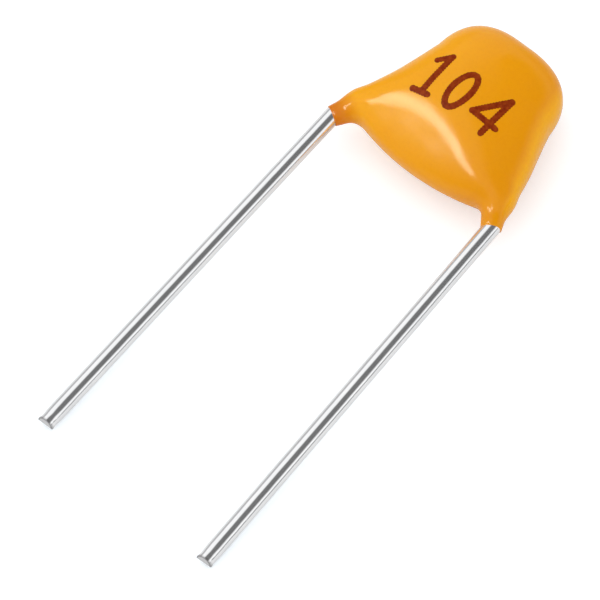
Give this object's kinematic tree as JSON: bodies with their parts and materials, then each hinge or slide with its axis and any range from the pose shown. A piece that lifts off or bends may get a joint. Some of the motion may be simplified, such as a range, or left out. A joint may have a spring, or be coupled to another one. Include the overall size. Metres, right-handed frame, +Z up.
{
  "type": "multilayer ceramic capacitor",
  "caption": "Small flared bead of glossy amber epoxy over a layered ceramic chip, with a pair of straight parallel wire leads for a printed circuit board.",
  "frame": {"origin": "centre of the bounding box's base, on the surface that the part lies on", "axes": "+Y from the lead tips to the dome of the coat, +Z up through the marked face, +X to the right seen from above with the leads towards -Y"},
  "size_m": [0.006, 0.0158, 0.0025],
  "materials": {
    "epoxy_coating": "glossy",
    "ceramic": "matte",
    "plate_metal": "satin",
    "termination_metal": "satin",
    "solder": "satin",
    "tinned_wire": "bright"
  },
  "bodies": {
    "root": {"epoxy_coating": "epoxy_coating", "ceramic_body": "ceramic", "left_termination": "termination_metal", "right_termination": "termination_metal", "left_solder_joint": "solder", "right_solder_joint": "solder", "left_lead": "tinned_wire", "right_lead": "tinned_wire", "electrode_01": "plate_metal", "electrode_02": "plate_metal", "electrode_03": "plate_metal", "electrode_04": "plate_metal", "electrode_05": "plate_metal", "electrode_06": "plate_metal", "electrode_07": "plate_metal", "electrode_08": "plate_metal", "electrode_09": "plate_metal", "electrode_10": "plate_metal", "electrode_11": "plate_metal", "electrode_12": "plate_metal"}
  },
  "joints": []
}
